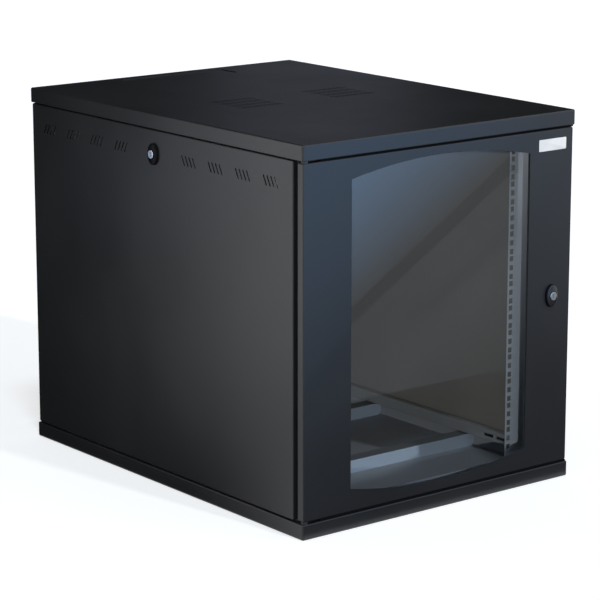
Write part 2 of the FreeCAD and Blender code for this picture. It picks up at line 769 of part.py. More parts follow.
def rackRail(name, label, side):
    """an angle with the square holes of every rack unit, bolted to the depth channels"""
    body = newBody(name)
    section = newSketch(body, name + "Section", "XY_Plane", "capHeight - railReach")
    inner = "%d * railOpening / 2" % side
    outer = "%d * frameInner" % side
    outerSkin = "%d * (frameInner - sheetThickness)" % side
    back = "railFace + sheetThickness"
    addOutline(section, [(inner, "railFace"), (outer, "railFace"), (outer, "railFace + railFlange"),
                         (outerSkin, "railFace + railFlange"), (outerSkin, back), (inner, back)])
    rail = pad(body, section, "cabinetHeight - 2 * (capHeight - railReach)")

    def isFrontBend(edge, at, box):
        bend = box.XMax if side > 0 else box.XMin
        return isAlong(edge, alongZ) and abs(at.y - box.YMin) < 0.01 and abs(at.x - bend) < 0.01
    roundEdges(body, rail, "sheetThickness", isFrontBend)

    bolts = newSketch(body, name + "BoltHoles", "YZ_Plane", outer)
    for z in ("boltLowZ", "boltHighZ"):
        addCircle(bolts, "boltY", z, "boltRadius + boltClearance")
    cut(body, bolts, "4 * sheetThickness")

    unit = newSketch(body, name + "UnitHoles", "XZ_Plane", "-(railFace)")
    middle = "%d * railHolesApart / 2" % side
    for number in range(3):
        z = "capHeight + railMargin + railHoleEdge + %d * railHolePitch" % number
        addRectangle(unit, middle + " - railHole / 2", middle + " + railHole / 2",
                     z + " - railHole / 2", z + " + railHole / 2")
    holes = cut(body, unit, "4 * sheetThickness")
    repeat(body, [holes], [("row", "Z_Axis", "rackUnits", "unitHeight")], name + "Units")
    return keep(body, label)


def railFasteners():
    """a bolt from the rail side and a nut inside the channel at each crossing"""
    bolts = []
    nuts = []
    for side in (-1, 1):
        turn = towardX if side > 0 else towardMinusX
        for z in ("boltLowZ", "boltHighZ"):
            name = "RailBolt%d" % len(bolts)
            face = "%d * (frameInner - sheetThickness)" % side
            profile = [("-1.2 * boltRadius", "1.2 * boltRadius"), ("-boltRadius", "1.6 * boltRadius"),
                       ("0", "1.9 * boltRadius"), ("0", "boltRadius"),
                       ("boltReach - boltTip", "boltRadius"), ("boltReach", "0.7 * boltRadius")]
            bolts.append(spindle(name, profile, face, "boltY", z, turn))
            nutFace = "%d * (frameInner + sheetThickness)" % side
            nuts.append(hexNut(name + "Nut", "nutAcross", "nutThickness", "boltRadius",
                               nutFace, "boltY", z, turn))
    keep(group("RailBolts", bolts), "rail_bolts")
    keep(group("RailNuts", nuts), "rail_nuts")


# --- rear panel and wall fixing -----------------------------------------------------------

def rearPanel():
    body = newBody("RearPanel")
    outline = newSketch(body, "RearOutline", "XZ_Plane", "-rearPostBack")
    reach = "halfWidth - rearPanelGap"
    addRectangle(outline, "-(" + reach + ")", reach, "panelLow", "panelHigh")
    plate = pad(body, outline, "panelThickness", reverse=True)
    roundEdges(body, plate, "rearPanelGap", lambda edge, at, box: isAlong(edge, alongY))
    holes = newSketch(body, "RearWallHoles", "XZ_Plane", "-rearPostBack")
    for side in (-1, 1):
        for level in (-1, 1):
            addCircle(holes, "%d * wallHoleX" % side, "cabinetHeight / 2 + %d * wallHolesApart / 2" % level,
                      "wallHoleRadius")
    cut(body, holes, "4 * sheetThickness")
    return keep(body, "rear_panel")


def wallSpacers():
    """rings behind the rear panel that bring the wall fixing level with the caps"""
    rings = []
    for side in (-1, 1):
        for level in (-1, 1):
            name = "WallSpacer%d" % len(rings)
            disc = doc.addObject("Part::Cylinder", name + "Disc")
            bind(disc, "Radius", "spacerRadius")
            z = "cabinetHeight / 2 + %d * wallHolesApart / 2" % level
            rings.append(ring(name, disc, "wallHoleRadius", "rearPostGap - panelThickness",
                              "%d * wallHoleX" % side, "rearPostBack + panelThickness", z, towardY))
    return keep(group("WallSpacers", rings), "wall_spacers")


def rearRivets():
    """rivet heads that hold the rear panel on the flanges of the rear posts"""
    rivets = []
    for side in (-1, 1):
        for level in (-1, 0, 1):
            profile = [("0", "rivetRadius"), ("rivetRim", "0.95 * rivetRadius"),
                       ("rivetHeight", "rivetRadius / 2")]
            z = "cabinetHeight / 2 + %d * (wallHolesApart / 2 - rivetDrop)" % level
            rivets.append(spindle("RearRivet%d" % len(rivets), profile, "%d * wallHoleX" % side,
                                  "rearPostBack + panelThickness", z, towardY))
    return keep(group("RearRivets", rivets), "rear_panel_rivets")


# --- side panels --------------------------------------------------------------------------

def sidePanel(name, label, side):
    """a shallow tray with slanted vents along its top and a lock in the middle of them"""
    body = newBody(name)
    outline = newSketch(body, name + "Outline", "YZ_Plane", "%d * panelFace" % side)
    addRectangle(outline, "panelFront", "panelBack", "panelLow", "panelHigh")
    block = pad(body, outline, "panelReturn", reverse=side > 0)

    def isOuter(edge, at, box):
        return abs(at.x - (box.XMax if side > 0 else box.XMin)) < 0.01

    def isInside(at, box):
        return abs(at.x - (box.XMin if side > 0 else box.XMax)) < 0.01
    corners = roundEdges(body, block, "panelCorner", lambda edge, at, box: isAlong(edge, alongX))
    folded = roundEdges(body, corners, "panelEdge", isOuter)
    hollow(body, folded, "panelThickness", isInside)
    hole = newSketch(body, name + "LockHole", "YZ_Plane", "%d * panelFace" % side)
    addCircle(hole, "sideLockY", "sideLockZ", "barrelRadius")
    cut(body, hole, "4 * panelThickness")

    for way in (-1, 1):
        slot = newSketch(body, name + ("Vent%d" % (way + 1)), "YZ_Plane", "%d * panelFace" % side)
        foot = "sideLockY + %d * (ventFirst - (ventSlots - 1) * slotPitch / 2 + slotLean / 2)" % way
        head = "sideLockY + %d * (ventFirst - (ventSlots - 1) * slotPitch / 2 - slotLean / 2)" % way
        low = "sideLockZ - slotRise / 2"
        high = "sideLockZ + slotRise / 2"
        addLeaningSlot(slot, foot, low, head, high, "slotWidth", -way)
        slotCut = cut(body, slot, "4 * panelThickness")
        near = ("row", "Y_Axis", "ventSlots", "slotPitch")
        far = ("row", "Y_Axis", "ventGroups", "ventGroupPitch")
        rows = repeat(body, [slotCut], [near, far], name + ("Vents%d" % (way + 1)))
        for row in rows.Transformations:
            row.Reversed = way < 0
    doc.recompute()
    return keep(body, label)


def panelPegs(name, label, side):
    """pegs at the foot of a side panel that stand in the holes of the posts"""
    pegs = []
    for y in ("postFront + postDepth / 2", "rearPostBack - postDepth / 2"):
        profile = [("0", "2 * pegRadius"), ("pegHead", "2 * pegRadius"), ("pegHead", "pegRadius"),
                   ("pegLength - pegTip", "pegRadius"), ("pegLength", "0.6 * pegRadius")]
        turn = towardMinusX if side > 0 else towardX
        pegs.append(spindle("%s%d" % (name, len(pegs)), profile, "%d * (panelFace - panelThickness)" % side,
                            y, "pegHeight", turn))
    return keep(group(name, pegs), label)


# --- door ---------------------------------------------------------------------------------

def doorFrame():
    """a folded steel frame round an arched window, with stiffening lips down both sides"""
    body = newBody("DoorFrame")
    outline = newSketch(body, "DoorOutline", "XZ_Plane", "doorFront")
    reach = "halfWidth - doorSideGap"
    addRectangle(outline, "-(" + reach + ")", reach, "doorLow", "doorHigh")
    block = pad(body, outline, "doorThickness", reverse=True)

    corners = roundEdges(body, block, "doorCorner", lambda edge, at, box: isAlong(edge, alongY))
    folded = roundEdges(body, corners, "doorEdge", lambda edge, at, box: abs(at.y - box.YMin) < 0.01)
    hollow(body, folded, "sheetThickness", lambda at, box: abs(at.y - box.YMax) < 0.01)
    lips = newSketch(body, "DoorLips", "XZ_Plane", "doorBack")
    for side in (-1, 1):
        inner = "%d * (%s - doorReturn)" % (side, reach)
        outer = "%d * (%s - sheetThickness / 2)" % (side, reach)
        addRectangle(lips, inner, outer, "doorLow + doorEdge", "doorHigh - doorEdge")
    pad(body, lips, "sheetThickness")
    window = newSketch(body, "DoorWindow", "XZ_Plane", "doorFront")
    addArchedWindow(window, "windowWidth / 2", "windowMiddle - windowSide / 2",
                    "windowMiddle + windowSide / 2", "windowRadius", "windowArch")
    cut(body, window, "4 * sheetThickness")
    lock = newSketch(body, "DoorLockHole", "XZ_Plane", "doorFront")
    addCircle(lock, "lockX", "doorLockHeightAboveFloor", "barrelRadius")
    cut(body, lock, "4 * sheetThickness")
    for name, level in (("DoorPinHoleLow", "doorLow"), ("DoorPinHoleHigh", "doorHigh")):
        pin = newSketch(body, name, "XY_Plane", level)
        addCircle(pin, "hingeX", "hingeY", "bushRadius")
        cut(body, pin, "4 * sheetThickness")
    return keep(body, "door_frame")


def doorGlass():
    body = newBody("DoorGlass")
    outline = newSketch(body, "GlassOutline", "XZ_Plane", "glassFront")
    addRectangle(outline, "-glassHalfWidth", "glassHalfWidth",
                 "windowMiddle - glassHalfHeight", "windowMiddle + glassHalfHeight")
    pane = pad(body, outline, "glassThickness", reverse=True)
    roundEdges(body, pane, "glassThickness", lambda edge, at, box: isAlong(edge, alongY))
    return keep(body, "door_glass")


def glassGasket():
    """a foam seal between the frame and the pane, set back from the window's edge"""
    body = newBody("GlassGasket")
    outline = newSketch(body, "GasketOutline", "XZ_Plane", "glassFront")
    edge = "glassHalfWidth - sheetThickness"
    addRectangle(outline, "-(" + edge + ")", edge, "windowMiddle - glassHalfHeight + sheetThickness",
                 "windowMiddle + glassHalfHeight - sheetThickness")
    radius = "(pow(windowWidth / 2 + gasketSetback; 2) + pow(windowArch; 2)) / (2 * windowArch)"
    addArchedWindow(outline, "windowWidth / 2 + gasketSetback",
                    "windowMiddle - windowSide / 2 - gasketSetback",
                    "windowMiddle + windowSide / 2 + gasketSetback", radius, "windowArch")
    pad(body, outline, "gasketThickness")
    return keep(body, "glass_gasket")


def studLevel(number):
    """the height of one of the studs down a retaining strip"""
    return "windowMiddle + (%d / (retainerStudCount - 1) - 0.5) * studSpan" % number


def glassRetainer(name, label, side):
    """a stepped strip down one side: its foot lies on the door skin, its step grips the pane"""
    body = newBody(name)
    section = newSketch(body, name + "Section", "XY_Plane", "windowMiddle - windowSide / 2")
    skin = "-(doorFront - sheetThickness)"
    back = "-(glassFront - glassThickness)"
    edge = "glassHalfWidth + fitGap"
    outer = edge + " + retainerFoot"
    riser = edge + " + sheetThickness"
    tip = edge + " - glassOverlap + gasketSetback"
    points = [(edge, skin), (outer, skin), (outer, skin + " + sheetThickness"),
              (riser, skin + " + sheetThickness"), (riser, back + " + sheetThickness"),
              (tip, back + " + sheetThickness"), (tip, back), (edge, back)]
    addOutline(section, [("%d * (%s)" % (side, x), y) for x, y in points])
    pad(body, section, "windowSide")
    holes = newSketch(body, name + "Holes", "XZ_Plane", "doorFront - sheetThickness")
    for number in range(int(round(sizes["retainerStudCount"]))):
        addCircle(holes, "%d * studX" % side, studLevel(number), "retainerStudRadius")
    cut(body, holes, "4 * sheetThickness")
    return keep(body, label)


def retainerFixings():
    """studs welded to the door skin and the nuts that press the strips on the pane"""
    studs = []
    nuts = []
    for side in (-1, 1):
        for number in range(int(round(sizes["retainerStudCount"]))):
            x = "%d * studX" % side
            y = "-(doorFront - sheetThickness)"
            z = studLevel(number)
            name = "RetainerStud%d" % len(studs)
            profile = [("0", "retainerStudRadius"),
                       ("retainerStudLength - retainerStudTip", "retainerStudRadius"),
                       ("retainerStudLength", "0.7 * retainerStudRadius")]
            studs.append(spindle(name, profile, x, y, z, towardY))
            nuts.append(hexNut(name + "Nut", "3.5 * retainerStudRadius", "retainerNutThickness",
                               "retainerStudRadius", x, y + " + sheetThickness", z, towardY))
    keep(group("RetainerStuds", studs), "retainer_studs")
    keep(group("RetainerNuts", nuts), "retainer_nuts")


# --- hinge --------------------------------------------------------------------------------

def hingePin(name, label, upper):
    """a pin riveted in a cap's lip, with the collar that carries the door"""
    collar = "doorCapGap - bushFlange - hingePlay"
    profile = [("-sheetThickness - pinHead", "hingeCollarRadius"), ("-sheetThickness", "hingeCollarRadius"),
               ("-sheetThickness", "bushRadius"), ("0", "bushRadius"), ("0", "hingeCollarRadius"),
               (collar, "hingeCollarRadius"), (collar, "hingePinRadius"),
               ("pinLength - pinTip", "hingePinRadius"), ("pinLength", "hingePinRadius - pinTip")]
    level = "coverLip" if upper else "capHeight"
    turn = FreeCAD.Rotation(alongX, 180) if upper else None
    return keep(spindle(name, profile, "hingeX", "hingeY", level, turn), label)


def hingeBush(name, label, upper):
    """a flanged bush in the door's edge"""
    bore = "hingePinRadius + hingeClearance"
    body = newBody(name)
    sketch = newSketch(body, name + "Profile", "XZ_Plane")
    addOutline(sketch, [(bore, "-bushFlange"), ("hingeCollarRadius", "-bushFlange"),
                        ("hingeCollarRadius", "0"), ("bushRadius", "0"), ("bushRadius", "bushLength"),
                        (bore, "bushLength")])
    turned = body.newObject("PartDesign::Revolution", name + "Turned")
    turned.Profile = sketch
    turned.ReferenceAxis = (sketch, ["V_Axis"])
    turned.Angle = 360
    level = "doorHigh" if upper else "doorLow"
    place(body, "hingeX", "hingeY", level, FreeCAD.Rotation(alongX, 180) if upper else None)
    return keep(body, label)


# --- locks --------------------------------------------------------------------------------

def lockBody(name, label, height, barrel, rotation, where):
    """an oval escutcheon with a rounded face and the barrel that goes through the sheet"""
    body = newBody(name)
    oval = newSketch(body, name + "Oval", "XZ_Plane")
    oval.addGeometry(Part.Ellipse(vector(0, 20, 0), vector(13, 0, 0), vector(0, 0, 0)), False)
    oval.exposeInternalGeometry(0)
    oval.addConstraint(Sketcher.Constraint("Coincident", 0, 3, -1, 1))
    oval.addConstraint(Sketcher.Constraint("Vertical", 1))
    for line, formula, guess in ((1, height, 40.0), (2, "lockWidth", 26.0)):
        index = oval.addConstraint(Sketcher.Constraint("Distance", line, guess))
        bind(oval, "Constraints[%d]" % index, formula)
    shell = pad(body, oval, "lockDepth")
    roundEdges(body, shell, "lockRound", lambda edge, at, box: abs(at.y - box.YMin) < 0.01)
    barrelSketch = newSketch(body, name + "Barrel", "XZ_Plane", "-(" + barrel + ")")
    addCircle(barrelSketch, "0", "0", "barrelRadius")
    pad(body, barrelSketch, barrel)
    collar = newSketch(body, name + "Collar", "XZ_Plane", "lockDepth")
    addCircle(collar, "0", "0", "plugRadius + lockCollarWidth")
    pad(body, collar, "lockCollarProud")
    bore = newSketch(body, name + "Bore", "XZ_Plane")
    addCircle(bore, "0", "0", "plugRadius + plugClearance")
    cut(body, bore, "2 * (lockDepth + 2 * (" + barrel + "))")
    place(body, *where, rotation)
    return keep(body, label)


def lockNut(name, label, sheet, rotation, where):
    """the six sided nut that clamps the lock on its sheet, modelled about the lock's axis"""
    body = newBody(name)
    sketch = newSketch(body, name + "Outline", "XZ_Plane", "-(" + sheet + " + lockNutThickness)")
    radius = "(barrelRadius + lockNutWall) / cos(30)"
    corners = []
    for turn in range(0, 360, 60):
        x = "%s * cos(%d)" % (radius, turn)
        y = "%s * sin(%d)" % (radius, turn) if turn % 180 else "0"
        corners.append((x, y))
    addOutline(sketch, corners)
    addCircle(sketch, "0", "0", "barrelRadius")
    pad(body, sketch, "lockNutThickness")
    place(body, *where, rotation)
    return keep(body, label)


def lockPlug(name, label, barrel, rotation, where):
    """the turning cylinder, with its key slot, and the square end that takes the cam"""
    body = newBody(name)
    core = newSketch(body, name + "Core", "XZ_Plane", "-(" + barrel + ")")
    addCircle(core, "0", "0", "plugRadius")
    cylinder = pad(body, core, barrel + " + lockDepth + plugProud")
    roundEdges(body, cylinder, "plugEdge", lambda edge, at, box: abs(at.y - box.YMin) < 0.01)
    square = newSketch(body, name + "Square", "XZ_Plane", "-(" + barrel + " + camThickness)")
    half = "camWidth / 4"
    addRectangle(square, "-" + half, half, "-" + half, half)
    pad(body, square, "camThickness")
    key = newSketch(body, name + "KeySlot", "XZ_Plane", "lockDepth + plugProud")
    addRectangle(key, "-keySlotWidth / 2", "keySlotWidth / 2", "-plugRadius * 0.62", "plugRadius * 0.62")
    cut(body, key, "2 * keySlotDepth")
    place(body, *where, rotation)
    return keep(body, label)


def lockCam(name, label, barrel, rotation, where):
    """a flat latch arm, pointing down its own -Z, with a round tip and a square hole"""
    body = newBody(name)
    arm = newSketch(body, name + "Arm", "XZ_Plane", "-(" + barrel + ")")
    half = "camWidth / 2"
    addRectangle(arm, "-" + half, half, "-camLength", half)
    plate = pad(body, arm, "camThickness", reverse=True)
    roundEdges(body, plate, "0.4 * camWidth", lambda edge, at, box: isAlong(edge, alongY))
    square = newSketch(body, name + "Square", "XZ_Plane", "-(" + barrel + ")")
    quarter = "camWidth / 4"
    addRectangle(square, "-" + quarter, quarter, "-" + quarter, quarter)
    cut(body, square, "4 * camThickness")
    place(body, *where, rotation)
    return keep(body, label)


def camScrew(name, label, barrel, rotation, where):
    """the screw head that holds the cam on the plug's square end"""
    head = [("0", "0.4 * camWidth"), ("camScrewHead", "0.4 * camWidth"),
            ("camScrewHead + camScrewCrown", "0.3 * camWidth")]
    body = newBody(name)
    sketch = newSketch(body, name + "Profile", "YZ_Plane")
    start = barrel + " + camThickness"
    corners = [(start, "0")]
    corners += [(start + " + " + height, radius) for height, radius in head]
    corners.append((start + " + " + head[-1][0], "0"))
    addOutline(sketch, corners)
    turned = body.newObject("PartDesign::Revolution", name + "Turned")
    turned.Profile = sketch
    turned.ReferenceAxis = (sketch, ["H_Axis"])
    turned.Angle = 360
    place(body, *where, rotation)
    return keep(body, label)


def lockSet(name, label, height, barrel, sheet, facing, camTurn, where):
    """one lock: body, nut, plug, cam and cam screw, facing outward from its sheet"""
    lockBody(name + "Body", label + "_body", height, barrel, facing, where)
    lockNut(name + "Nut", label + "_nut", sheet, facing, where)
    lockPlug(name + "Plug", label + "_plug", barrel, facing, where)
    lockCam(name + "Cam", label + "_cam", barrel, facing.multiply(camTurn), where)
    camScrew(name + "Screw", label + "_cam_screw", barrel, facing, where)


# --- earth stud ---------------------------------------------------------------------------

def earthPoint():
    """a stud on the floor near the rear, with a washer and a nut"""
    x = "-frameInner + earthSideGap"
    y = "channelBack - earthRearGap"
    profile = [("0", "2 * earthRadius"), ("earthWasher", "2 * earthRadius"), ("earthWasher", "earthRadius"),
               ("earthLength - earthTip", "earthRadius"), ("earthLength", "0.7 * earthRadius")]
    keep(spindle("EarthStud", profile, x, y, "sheetThickness"), "earth_stud")
    nut = hexNut("EarthNut", "nutAcross", "nutThickness", "earthRadius", x, y, "sheetThickness + earthWasher")
    keep(nut, "earth_nut")


# --- build --------------------------------------------------------------------------------

baseTray()
topCover()
entryPlate("BasePlate", "base_cable_plate", "sheetThickness")
entryPlate("CoverPlate", "top_cable_plate", "cabinetHeight - 2 * sheetThickness")
entryScrews()
for side, word in ((-1, "left"), (1, "right")):
    post("FrontPost" + word, "front_post_" + word, side, True)
    post("RearPost" + word, "rear_post_" + word, side, False)
    depthChannel("LowerChannel" + word, "lower_channel_" + word, side, False)
    depthChannel("UpperChannel" + word, "upper_channel_" + word, side, True)
    rackRail("RackRail" + word, "rack_rail_" + word, side)
    sidePanel("SidePanel" + word, "side_panel_" + word, side)
    panelPegs("PanelPegs" + word, "side_panel_pegs_" + word, side)
frontCross("FrontSill", "front_sill", False)
frontCross("FrontHeader", "front_header", True)
floorBar("FloorBarFront", "floor_bar_front", "barFrontSetback")
floorBar("FloorBarRear", "floor_bar_rear", "barRearSetback")
railFasteners()
rearPanel()
wallSpacers()
rearRivets()
doorFrame()
doorGlass()
glassGasket()
glassRetainer("RetainerLeft", "glass_retainer_left", -1)
glassRetainer("RetainerRight", "glass_retainer_right", 1)
retainerFixings()
hingePin("HingePinLower", "hinge_pin_lower", False)
hingePin("HingePinUpper", "hinge_pin_upper", True)
hingeBush("HingeBushLower", "hinge_bush_lower", False)
hingeBush("HingeBushUpper", "hinge_bush_upper", True)
noTurn = FreeCAD.Rotation()
camOut = FreeCAD.Rotation(alongY, -90)
lockSet("DoorLock", "door_lock", "doorLockHeight", "doorBarrel", "sheetThickness", noTurn, noTurn,
        ("lockX", "-doorFront", "doorLockHeightAboveFloor"))
lockSet("LeftLock", "left_lock", "sideLockHeight", "sideBarrel", "panelThickness",
        FreeCAD.Rotation(alongZ, -90), camOut, ("-panelFace", "sideLockY", "sideLockZ"))
lockSet("RightLock", "right_lock", "sideLockHeight", "sideBarrel", "panelThickness",
        FreeCAD.Rotation(alongZ, 90), camOut, ("panelFace", "sideLockY", "sideLockZ"))
earthPoint()
doc.recompute()

# --- checks and export --------------------------------------------------------------------

faults = [thing.Name for thing in doc.Objects if "Invalid" in thing.State or "Error" in thing.State]
for part in parts:
    if part.Shape.isNull() or not part.Shape.isValid():
        faults.append(part.Label)
if faults:
    raise ValueError("failed: " + ", ".join(faults))
os.makedirs("parts", exist_ok=True)
for part in parts:
    part.Shape.exportStep("parts/%s.step" % part.Label)
print(len(parts), "parts written")
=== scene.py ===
import json
import math

import bmesh
import bpy
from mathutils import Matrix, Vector


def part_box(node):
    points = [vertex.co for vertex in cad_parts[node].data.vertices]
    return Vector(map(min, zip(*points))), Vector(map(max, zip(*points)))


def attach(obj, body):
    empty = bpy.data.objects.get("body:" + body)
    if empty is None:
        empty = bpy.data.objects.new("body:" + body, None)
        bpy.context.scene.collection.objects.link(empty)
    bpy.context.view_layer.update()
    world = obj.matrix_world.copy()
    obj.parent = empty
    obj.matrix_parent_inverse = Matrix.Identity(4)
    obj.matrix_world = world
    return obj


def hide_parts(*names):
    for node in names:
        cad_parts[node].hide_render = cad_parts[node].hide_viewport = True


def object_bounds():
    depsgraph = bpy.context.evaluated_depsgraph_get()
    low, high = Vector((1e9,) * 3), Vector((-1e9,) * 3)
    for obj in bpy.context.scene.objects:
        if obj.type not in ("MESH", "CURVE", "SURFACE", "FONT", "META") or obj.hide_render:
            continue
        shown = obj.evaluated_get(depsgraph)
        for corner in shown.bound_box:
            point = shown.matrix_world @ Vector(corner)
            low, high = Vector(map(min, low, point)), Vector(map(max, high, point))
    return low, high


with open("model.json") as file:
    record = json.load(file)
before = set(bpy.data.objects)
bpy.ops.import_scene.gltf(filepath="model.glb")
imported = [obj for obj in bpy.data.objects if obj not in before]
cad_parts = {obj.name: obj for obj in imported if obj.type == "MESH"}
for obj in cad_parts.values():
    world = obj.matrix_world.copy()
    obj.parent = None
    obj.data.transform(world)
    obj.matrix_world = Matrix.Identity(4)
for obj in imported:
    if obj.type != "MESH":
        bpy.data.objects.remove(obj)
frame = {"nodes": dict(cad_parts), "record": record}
cadLow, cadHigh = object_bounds()
nodes = frame["nodes"]
scene = bpy.context.scene
scene.view_settings.view_transform = "Standard"
print("frame loaded:", len(nodes), "nodes")


# A shader socket that takes plain arithmetic
class Wire:
    def __init__(self, shader, socket):
        self.shader = shader
        self.socket = socket

    def maths(self, operation, first, second):
        return self.shader.node("ShaderNodeMath", {"operation": operation}, {0: first, 1: second})

    def __add__(self, other):
        return self.maths("ADD", self, other)

    def __radd__(self, other):
        return self.maths("ADD", other, self)

    def __sub__(self, other):
        return self.maths("SUBTRACT", self, other)

    def __rsub__(self, other):
        return self.maths("SUBTRACT", other, self)

    def __mul__(self, other):
        return self.maths("MULTIPLY", self, other)

    def __rmul__(self, other):
        return self.maths("MULTIPLY", other, self)

    def __pow__(self, other):
        return self.maths("POWER", self, other)


# A node tree being built, for a material or the world
class Shader:
    def __init__(self, owner):
        owner.use_nodes = True
        self.owner = owner
        self.tree = owner.node_tree
        self.tree.nodes.clear()

    def node(self, kind, settings=None, inputs=None, output=0):
        made = self.tree.nodes.new(kind)
        for key, value in (settings or {}).items():
            setattr(made, key, value)
        for key, value in (inputs or {}).items():
            if isinstance(value, Wire):
                self.tree.links.new(value.socket, made.inputs[key])
            else:
                made.inputs[key].default_value = value
        return Wire(self, made.outputs[output])

    # where a point lies on its own piece, in metres
    def place(self):
        return self.node("ShaderNodeTexCoord", output="Object")

    # the same place, drawn out along the axes
    def stretch(self, factors):
        sockets = {0: self.place(), 1: factors}
        return self.node("ShaderNodeVectorMath", {"operation": "MULTIPLY"}, sockets)

    def noise(self, scale, detail=2.0, roughness=0.5, vector=None):
        source = vector or self.place()
        sockets = {"Vector": source, "Scale": scale, "Detail": detail, "Roughness": roughness}
        return self.node("ShaderNodeTexNoise", inputs=sockets)

    def cells(self, scale, output="Distance"):
        sockets = {"Vector": self.place(), "Scale": scale}
        return self.node("ShaderNodeTexVoronoi", inputs=sockets, output=output)

    def blend(self, factor, first, second):
        colors = {0: factor, 6: (*first, 1) if isinstance(first, tuple) else first,
                  7: (*second, 1) if isinstance(second, tuple) else second}
        return self.node("ShaderNodeMix", {"data_type": "RGBA"}, colors, output=2)

    # a value's share of a range, run out over another
    def span(self, value, low, high, start=0.0, end=1.0):
        sockets = {0: value, 1: low, 2: high, 3: start, 4: end}
        return self.node("ShaderNodeMapRange", inputs=sockets)

    def bump(self, height, strength, distance):
        sockets = {"Strength": strength, "Distance": distance, "Height": height}
        return self.node("ShaderNodeBump", inputs=sockets)

    def principled(self, **sockets):
        named = {key.replace("_", " "): value for key, value in sockets.items()}
        return self.node("ShaderNodeBsdfPrincipled", inputs=named)

    def finish(self, surface):
        forWorld = isinstance(self.owner, bpy.types.World)
        kind = "ShaderNodeOutputWorld" if forWorld else "ShaderNodeOutputMaterial"
        output = self.tree.nodes.new(kind)
        self.tree.links.new(surface.socket, output.inputs["Surface"])
        return self.owner


# The room: white to the camera, the gloss and the pane, and a plain level of light on the rest
def worldShader():
    studio = {"fill": 0.36, "sky": (0.92, 0.96, 1.0)}
    world = bpy.data.worlds.new("studio")
    scene.world = world
    build = Shader(world)
    seen, mirrored, through = [build.node("ShaderNodeLightPath", output=name) for name in
                               ("Is Camera Ray", "Is Glossy Ray", "Is Transmission Ray")]
    shown = seen.maths("MAXIMUM", seen.maths("MAXIMUM", seen, mirrored), through)
    light = build.node("ShaderNodeBackground", inputs={
        "Color": (*studio["sky"], 1), "Strength": studio["fill"]})
    white = build.node("ShaderNodeBackground", inputs={"Color": (1, 1, 1, 1), "Strength": 1.0})
    build.finish(build.node("ShaderNodeMixShader", inputs={0: shown, 1: light, 2: white}))


# Finishes, one function for each; their noise scales count waves to the metre
def powderCoat(name, color, gloss):
    build = Shader(bpy.data.materials.new(name))
    grain = build.noise(1400, 3, 0.6)
    peel = build.noise(260, 2, 0.5)
    cloud = build.noise(5, 3, 0.55)
    paler = tuple(min(1.0, part * 1.35) for part in color)
    base = build.blend(cloud * 0.85 + grain * 0.15, color, paler)
    rough = build.span(cloud + grain * 0.3, 0.4, 0.9, gloss - 0.03, gloss + 0.05)
    height = peel * 0.7 + grain * 0.3
    surface = build.principled(Base_Color=base, Roughness=rough,
                               Normal=build.bump(height, 0.05, 0.0002))
    return build.finish(surface)


# paler coats whose colour stands in for the light falling on faces inside: painted light
def paintedLightCoat(name, color, gloss):
    build = Shader(bpy.data.materials.new(name))
    cloud = build.noise(6, 2, 0.5)
    speck = build.noise(70, 2, 0.5)
    paler = tuple(part * 1.2 for part in color)
    rough = build.span(speck, 0.3, 0.7, gloss - 0.04, gloss + 0.04)
    base = build.blend(cloud * 0.8 + speck * 0.2, color, paler)
    surface = build.principled(Base_Color=base, Roughness=rough, Specular_IOR_Level=0.25)
    return build.finish(surface)


def greySteel(name, color, gloss):
    build = Shader(bpy.data.materials.new(name))
    streak = build.noise(60, 3, 0.6, build.stretch((14, 14, 1)))
    grain = build.noise(900, 2, 0.5)
    paler = tuple(min(1.0, part * 1.25) for part in color)
    base = build.blend(streak * 0.6 + grain * 0.4, color, paler)
    rough = build.span(streak, 0.3, 0.7, gloss - 0.05, gloss + 0.06)
    surface = build.principled(Base_Color=base, Roughness=rough, Metallic=0.35,
                               Normal=build.bump(grain + streak, 0.1, 0.0003))
    return build.finish(surface)


def zincPlate(name):
    build = Shader(bpy.data.materials.new(name))
    spangle = build.cells(420, "Color")
    tone = build.node("ShaderNodeRGBToBW", inputs={0: spangle})
    scratch = build.noise(1200, 2, 0.5, build.stretch((1, 1, 6)))
    base = build.blend(tone * 0.5 + scratch * 0.3, (0.42, 0.44, 0.47), (0.66, 0.68, 0.7))
    rough = build.span(scratch + tone * 0.3, 0.3, 0.9, 0.28, 0.42)
    surface = build.principled(Base_Color=base, Roughness=rough, Metallic=0.9,
                               Normal=build.bump(scratch, 0.1, 0.0002))
    return build.finish(surface)


def chrome(name):
    build = Shader(bpy.data.materials.new(name))
    scratch = build.noise(2600, 2, 0.5)
    cloud = build.noise(90, 2, 0.5)
    base = build.blend(cloud, (0.62, 0.63, 0.65), (0.8, 0.81, 0.82))
    rough = build.span(scratch * 0.5 + cloud * 0.5, 0.3, 0.7, 0.14, 0.24)
    surface = build.principled(Base_Color=base, Roughness=rough, Metallic=1.0,
                               Normal=build.bump(scratch, 0.06, 0.0001))
    return build.finish(surface)


def lockGloss(name):
    build = Shader(bpy.data.materials.new(name))
    grain = build.noise(1800, 2, 0.5)
    cloud = build.noise(120, 2, 0.5)
    base = build.blend(cloud, (0.008, 0.008, 0.010), (0.016, 0.016, 0.018))
    rough = build.span(grain * 0.4 + cloud * 0.6, 0.3, 0.7, 0.2, 0.28)
    surface = build.principled(Base_Color=base, Roughness=rough,
                               Normal=build.bump(grain, 0.05, 0.0001), Specular_IOR_Level=0.42)
    return build.finish(surface)


def darkPlastic(name, color, gloss, scale, shine=0.5):
    build = Shader(bpy.data.materials.new(name))
    grain = build.noise(scale, 3, 0.6)
    cloud = build.noise(scale / 12, 2, 0.5)
    paler = tuple(part * 1.6 for part in color)
    rough = build.span(cloud, 0.3, 0.7, gloss - 0.05, gloss + 0.05)
    surface = build.principled(Base_Color=build.blend(cloud, color, paler), Roughness=rough,
                               Normal=build.bump(grain, 0.3, 0.0005), Specular_IOR_Level=shine)
    return build.finish(surface)


